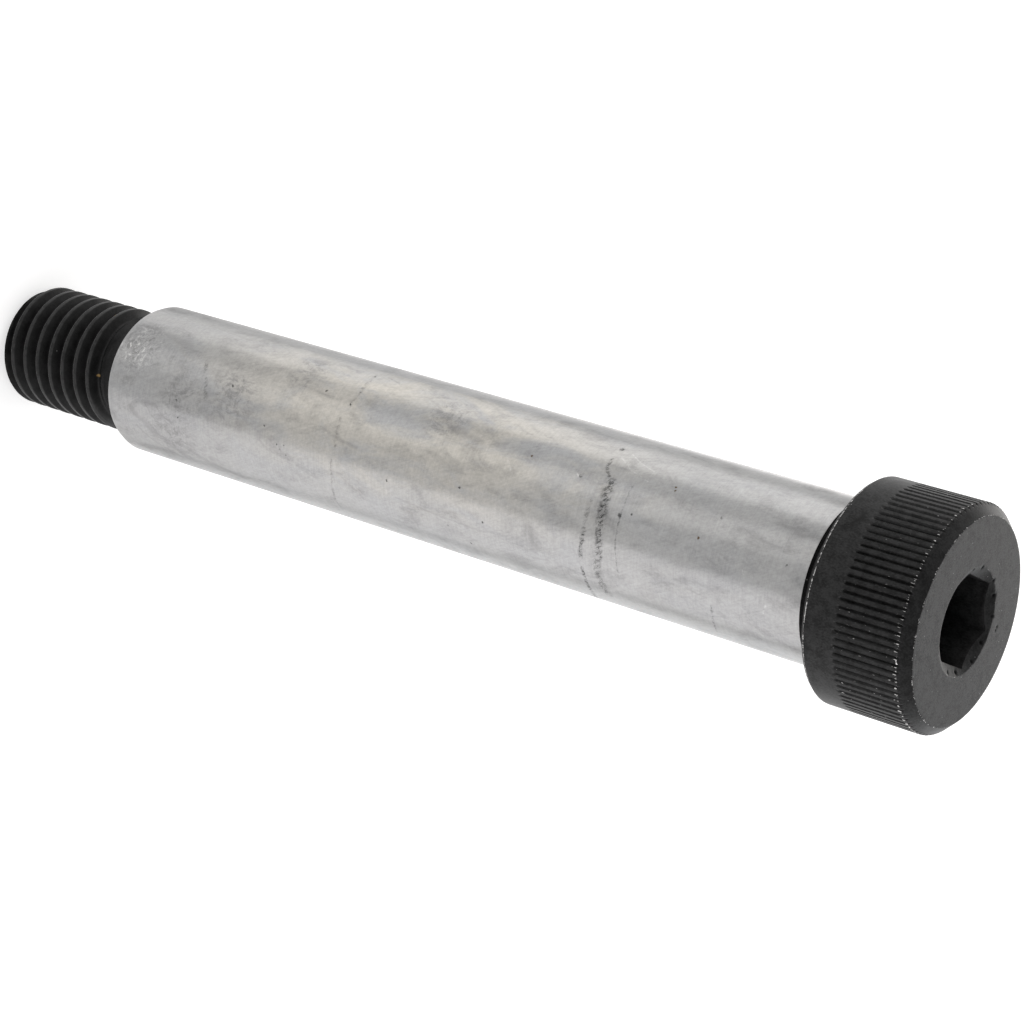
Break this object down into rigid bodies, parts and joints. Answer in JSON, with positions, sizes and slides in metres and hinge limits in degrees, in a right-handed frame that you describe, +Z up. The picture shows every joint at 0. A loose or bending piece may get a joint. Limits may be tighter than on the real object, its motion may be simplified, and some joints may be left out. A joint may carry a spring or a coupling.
{
  "type": "shoulder bolt",
  "caption": "Socket head shoulder bolt with a smooth ground shoulder, a straight-knurled head with a hex socket, and a threaded end.",
  "frame": {"origin": "on the bolt's axis, at the flat end of its thread, on which it stands", "axes": "+Z up, along the axis from the thread towards the head; +X through a corner of the hex socket, +Y across two of its flats"},
  "size_m": [0.0252, 0.0252, 0.1395],
  "materials": {
    "ground_steel": "bare steel, ground round the axis, with light scuffs and small pits",
    "black_oxide": "black oxide on the head, relief, neck and thread, worn bright on the edges"
  },
  "bodies": {
    "root": {"shoulder_bolt": "ground_steel"}
  },
  "joints": []
}
